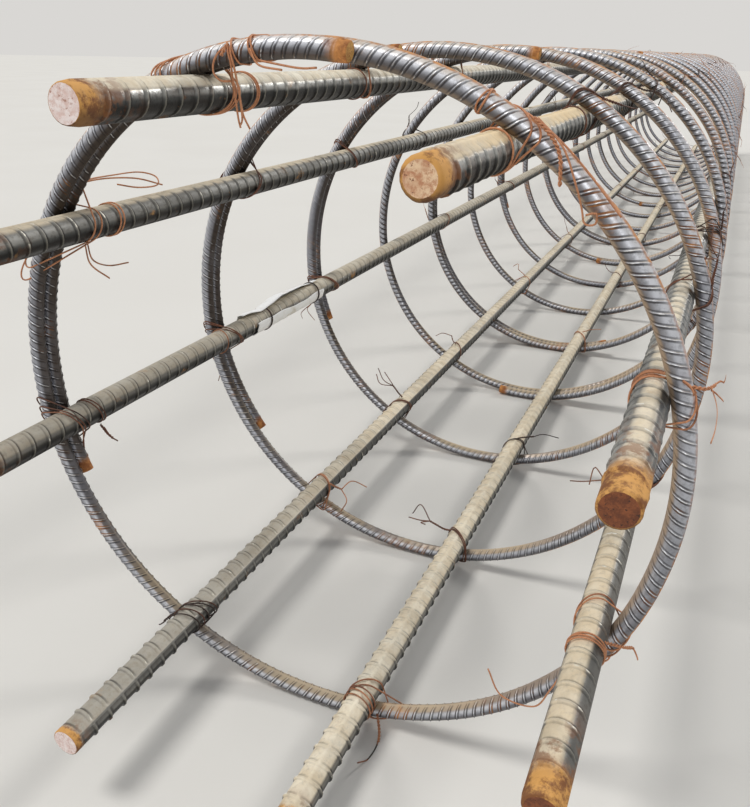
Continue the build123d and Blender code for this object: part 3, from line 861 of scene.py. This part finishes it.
def tie_crossing(bundle, index, bar):
    angle = bar_angles[bar]
    strands = strands_at(index, angle)
    half_spread = (strands[-1] - strands[0]) * 500.0
    out = np.array([cos(radians(angle)), 0.0, sin(radians(angle))])
    around = np.array([-sin(radians(angle)), 0.0, cos(radians(angle))])
    x, z = bar_centres[bar]
    middle = np.array([x, (strands[0] + strands[-1]) / 2, z]) + out * BAR_DEPTH / 1000
    directions = np.array([(0.0, 1.0, 0.0), around, out]) / 1000

    def turn_to_world(points):
        return inside_reach(middle + points @ directions)

    near = index < 3
    tie = FIRST_HOOP_TIES[bar + 1] if index == 0 else usual_tie(near, half_spread > 1, out[2] < -0.3)
    sides, step = (6, 2.4) if index == 0 else (5, 3.4) if near else (4, 6.5)
    for kind, first, second in tie["loops"]:
        path, square = loop_path(kind, first, second, half_spread, step)
        tone = tie["tone"] + rng.uniform(-0.15, 0.15)
        bundle.add(path, wire_frames(path, True, square), True, sides, tone, turn_to_world)
    for corners in tie["pairs"]:
        path = smooth_path(corners, 1.3 if near else 2.4)
        side, up = wire_frames(path, False)
        turns = np.arange(len(path)) * np.linalg.norm(path[1] - path[0]) / PAIR_PITCH * 2 * pi
        offset = PAIR_OFFSET * (np.cos(turns)[:, None] * side + np.sin(turns)[:, None] * up)
        for strand in (path + offset, path - offset):
            bundle.add(strand, wire_frames(strand, False), False, sides - 1 if near else 3, tie["tone"], turn_to_world)
    for corners in tie["wires"]:
        path = smooth_path(corners, step)
        tone = tie["tone"] + rng.uniform(-0.1, 0.1)
        bundle.add(path, wire_frames(path, False), False, sides, tone, turn_to_world)


# Paper strip on one long bar, open on the side that faces up and into the cage, held by two loops of wire

STRIP_BAR = 5
STRIP_LOOPS = (0.035, 0.184)

# Along the strip, as shares of its length: the angle of its upper edge and how far it rises off the bar there, in mm
STRIP_SHARES = (0.0, 0.09, 0.17, 0.31, 0.45, 0.7, 0.84, 0.9, 1.0)
STRIP_UPPER_EDGE = (88, 78, 69, 72, 78, 89, 88, 85, 86)
STRIP_RISE = (3.6, 3.0, 0.4, 5.7, 7.1, 4.2, 1.6, 0.2, 1.0)
strip_low, strip_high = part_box("paper_strip")
strip_x, strip_z = bar_centres[STRIP_BAR - 1]


def paper_strip():
    rows, columns = 64, 44
    share = np.linspace(0, 1, rows)[:, None]
    length = strip_high.y - strip_low.y
    waist = np.exp(-((share - 0.17) / 0.06) ** 2) + np.exp(-((share - 0.9) / 0.06) ** 2)
    lower_edge = np.radians(19 - 12 * np.exp(-((share - 0.62) / 0.16) ** 2) + 2 * np.sin(share * 23))
    upper_edge = np.radians(np.interp(share, STRIP_SHARES, STRIP_UPPER_EDGE) + 2 * np.sin(share * 17))
    turn = np.linspace(0, 1, columns)[None, :]
    angle = lower_edge + (upper_edge - 2 * pi - lower_edge) * turn
    over_top = np.clip((radians(175) - (angle + 2 * pi)) / radians(50), 0, 1)
    rise = np.interp(share, STRIP_SHARES, STRIP_RISE) * over_top ** 2 * (3 - 2 * over_top)
    crumple = 0.0002 * (np.sin(share * 61 + 5 * turn) + np.sin(share * 37 - 9 * turn + 1.0))
    radius = 0.0157 + rise / 1000 + crumple * (1 - 0.8 * np.clip(waist, 0, 1))
    slant = 0.018 * np.clip((turn - 0.55) / 0.45, 0, 1) * (1 - share) ** 3
    along = share * length - slant + 0.0015 * np.sin(turn * 40) * (np.abs(share - 0.5) * 2) ** 6
    along = np.broadcast_to(along, radius.shape)

    def sheet(offset):
        size = radius + offset
        return np.stack([strip_x + size * np.cos(angle), strip_low.y + along, strip_z + size * np.sin(angle)], -1)

    outer, inner = sheet(0.00025).reshape(-1, 3), sheet(-0.00025).reshape(-1, 3)
    row, column = np.meshgrid(np.arange(rows - 1), np.arange(columns - 1), indexing="ij")
    a = (row * columns + column).ravel()
    quads = np.column_stack([a, a + 1, a + columns + 1, a + columns])
    total = rows * columns
    rim = np.concatenate([
        np.arange(columns - 1), np.arange(rows - 1) * columns + columns - 1,
        total - 1 - np.arange(columns - 1), (rows - 1 - np.arange(rows - 1)) * columns
    ])
    rim_next = np.roll(rim, -1)
    sides = np.column_stack([rim, rim + total, rim_next + total, rim_next])
    faces = [quads, quads[:, ::-1] + total, sides]
    piece = mesh_piece("folded_paper_strip", np.vstack([outer, inner]), faces)
    piece.data.materials.append(PAPER)
    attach(piece, "root")
    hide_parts("paper_strip")


def strip_loops(bundle):
    for distance in STRIP_LOOPS:
        turns = np.linspace(0, 2 * pi, 33)[:-1]
        for shift in (0.0, 1.8):
            path = np.column_stack([17.0 * np.cos(turns), shift + 2.0 * np.sin(turns + distance), 17.0 * np.sin(turns)])
            frames = wire_frames(path, True, np.array([0.0, 1.0, 0.0]))
            bundle.add(path, frames, True, 5, 0.2,
                       lambda points: points / 1000 + (strip_x, strip_low.y + distance, strip_z))


for index in range(HOOP_COUNT):
    ties = WireBundle()
    for bar in tied_bars(index):
        tie_crossing(ties, index, bar)
    if index == 1:
        strip_loops(ties)
    tie_piece = ties.piece(f"twisted_ties_{index + 1:02d}")
    tie_piece.data.materials.append(WIRE)
    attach(tie_piece, "root")
    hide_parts(f"wire_ties_{index + 1:02d}")

paper_strip()


# Camera, lights and floor

PHOTO_SIZE = (750, 807)
CAMERA_PLACE = Vector((0.3025, -3.381, 0.6424))
CAMERA_YAW = radians(-23.29)
CAMERA_PITCH = radians(-24.65)
CAMERA_ROLL = radians(-1.31)
FOCAL_PIXELS = 775.0


def photo_camera():
    data = bpy.data.cameras.new("photo_camera")
    data.sensor_fit = "HORIZONTAL"
    data.sensor_width = 36.0
    data.lens = FOCAL_PIXELS * data.sensor_width / PHOTO_SIZE[0]
    data.clip_start = 0.01
    forward = Vector((sin(CAMERA_YAW) * cos(CAMERA_PITCH), cos(CAMERA_YAW) * cos(CAMERA_PITCH), sin(CAMERA_PITCH)))
    level = Vector((cos(CAMERA_YAW), -sin(CAMERA_YAW), 0.0))
    down = forward.cross(level)
    right = cos(CAMERA_ROLL) * level + sin(CAMERA_ROLL) * down
    down = -sin(CAMERA_ROLL) * level + cos(CAMERA_ROLL) * down
    camera = bpy.data.objects.new("photo_camera", data)
    turn = Matrix((right, -down, -forward)).transposed().to_4x4()
    camera.matrix_world = Matrix.Translation(CAMERA_PLACE) @ turn
    bpy.context.scene.collection.objects.link(camera)
    bpy.context.scene.camera = camera


def floor():
    """A pale disc, 40 m in radius, that meets the pale surroundings far away."""
    rings = [0.0, 2.0, 6.0, 15.0, 40.0]
    count = 48
    turns = np.arange(count) * 2 * pi / count
    points = [np.array([[0.0, 0.0, 0.0]])]
    points += [np.column_stack([r * np.cos(turns), r * np.sin(turns), 0 * turns]) for r in rings[1:]]
    ring = np.arange(count)
    faces = [np.column_stack([np.zeros(count, int), 1 + ring, 1 + (ring + 1) % count])]
    for k in range(len(rings) - 2):
        inner, outer = 1 + k * count, 1 + (k + 1) * count
        beside = (ring + 1) % count
        faces.append(np.column_stack([inner + ring, outer + ring, outer + beside, inner + beside]))
    piece = mesh_piece("floor", np.vstack(points), faces)
    f = Finish("pale_floor")
    tone = f.noise(1.4, 3.0, 0.5)
    colour = f.mix(tone, srgb(224, 220, 212), srgb(232, 229, 222))
    f.finish(colour, 1.0, 0.0, f.bump(f.noise(60.0, 3.0, 0.6), 0.001, 0.2))
    f.shader.inputs["Specular IOR Level"].default_value = 0.0
    piece.data.materials.append(f.material)


def sun(name, direction, strength, width):
    data = bpy.data.lights.new(name, "SUN")
    data.energy = strength
    data.angle = radians(width)
    light = bpy.data.objects.new(name, data)
    light.rotation_euler = Vector(direction).to_track_quat("-Z", "Y").to_euler()
    bpy.context.scene.collection.objects.link(light)


def surroundings():
    """Soft light from all round, which the camera and reflections see as the pale colour of the lit floor."""
    world = bpy.data.worlds.new("surroundings")
    world.use_nodes = True
    tree = world.node_tree
    soft = tree.nodes["Background"]
    soft.inputs["Color"].default_value = srgb(236, 240, 247)
    soft.inputs["Strength"].default_value = 0.36
    shown = tree.nodes.new("ShaderNodeBackground")
    shown.inputs["Color"].default_value = srgb(217, 215, 212)
    shown.inputs["Strength"].default_value = 1.0
    path = tree.nodes.new("ShaderNodeLightPath")
    seen = tree.nodes.new("ShaderNodeMath")
    seen.operation = "MAXIMUM"
    tree.links.new(path.outputs["Is Camera Ray"], seen.inputs[0])
    tree.links.new(path.outputs["Is Glossy Ray"], seen.inputs[1])
    seen_all = tree.nodes.new("ShaderNodeMath")
    seen_all.operation = "MAXIMUM"
    tree.links.new(seen.outputs[0], seen_all.inputs[0])
    tree.links.new(path.outputs["Is Transmission Ray"], seen_all.inputs[1])
    choose = tree.nodes.new("ShaderNodeMixShader")
    tree.links.new(seen_all.outputs[0], choose.inputs[0])
    tree.links.new(soft.outputs[0], choose.inputs[1])
    tree.links.new(shown.outputs[0], choose.inputs[2])
    tree.links.new(choose.outputs[0], tree.nodes["World Output"].inputs["Surface"])
    bpy.context.scene.world = world


photo_camera()
sun("above_left", (0.42, 0.25, -0.87), 1.45, 18.0)
sun("far_right", (-0.40, -0.75, -0.52), 1.15, 14.0)
sun("near_side", (-0.20, 0.85, -0.48), 0.45, 30.0)
floor()
surroundings()
bpy.context.scene.view_settings.view_transform = "Standard"
